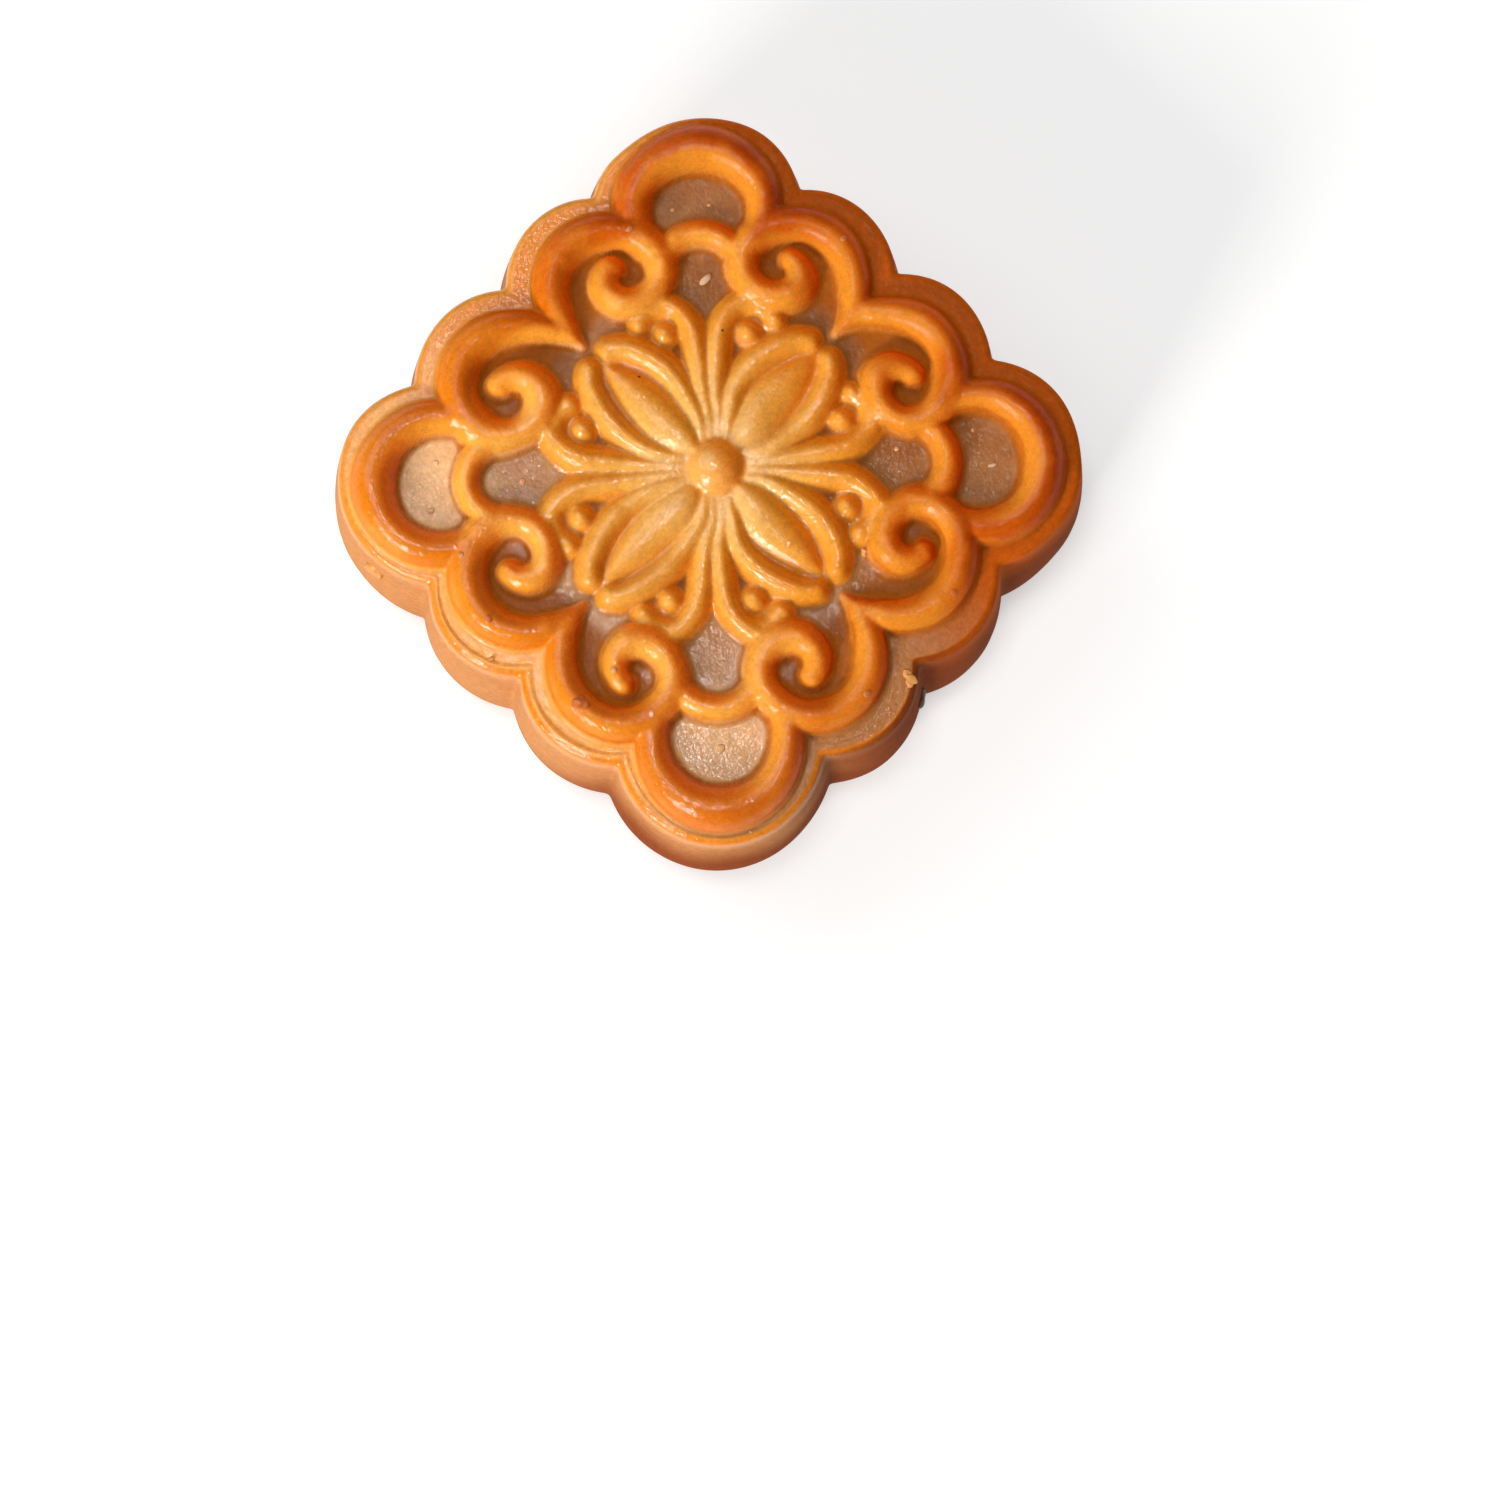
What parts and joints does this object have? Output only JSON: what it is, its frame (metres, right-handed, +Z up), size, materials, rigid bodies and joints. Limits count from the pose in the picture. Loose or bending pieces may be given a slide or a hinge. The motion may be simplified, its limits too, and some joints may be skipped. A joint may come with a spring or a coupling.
{
  "type": "spicy beef mooncake",
  "caption": "Square baked mooncake with lobed, softly bulging sides and a raised pattern of scrolls, petals and beads on its face.",
  "frame": {"origin": "centre of the flat base, on the surface that the cake lies on", "axes": "+Z up through the patterned face; +X and +Y point at the middles of two sides, each in line with a petal"},
  "size_m": [0.0672, 0.0672, 0.0299],
  "materials": {
    "crust": "baked crust with a glossy egg wash, darker on the outer ridges and paler on the walls"
  },
  "bodies": {
    "root": {"mooncake": "crust"}
  },
  "joints": []
}
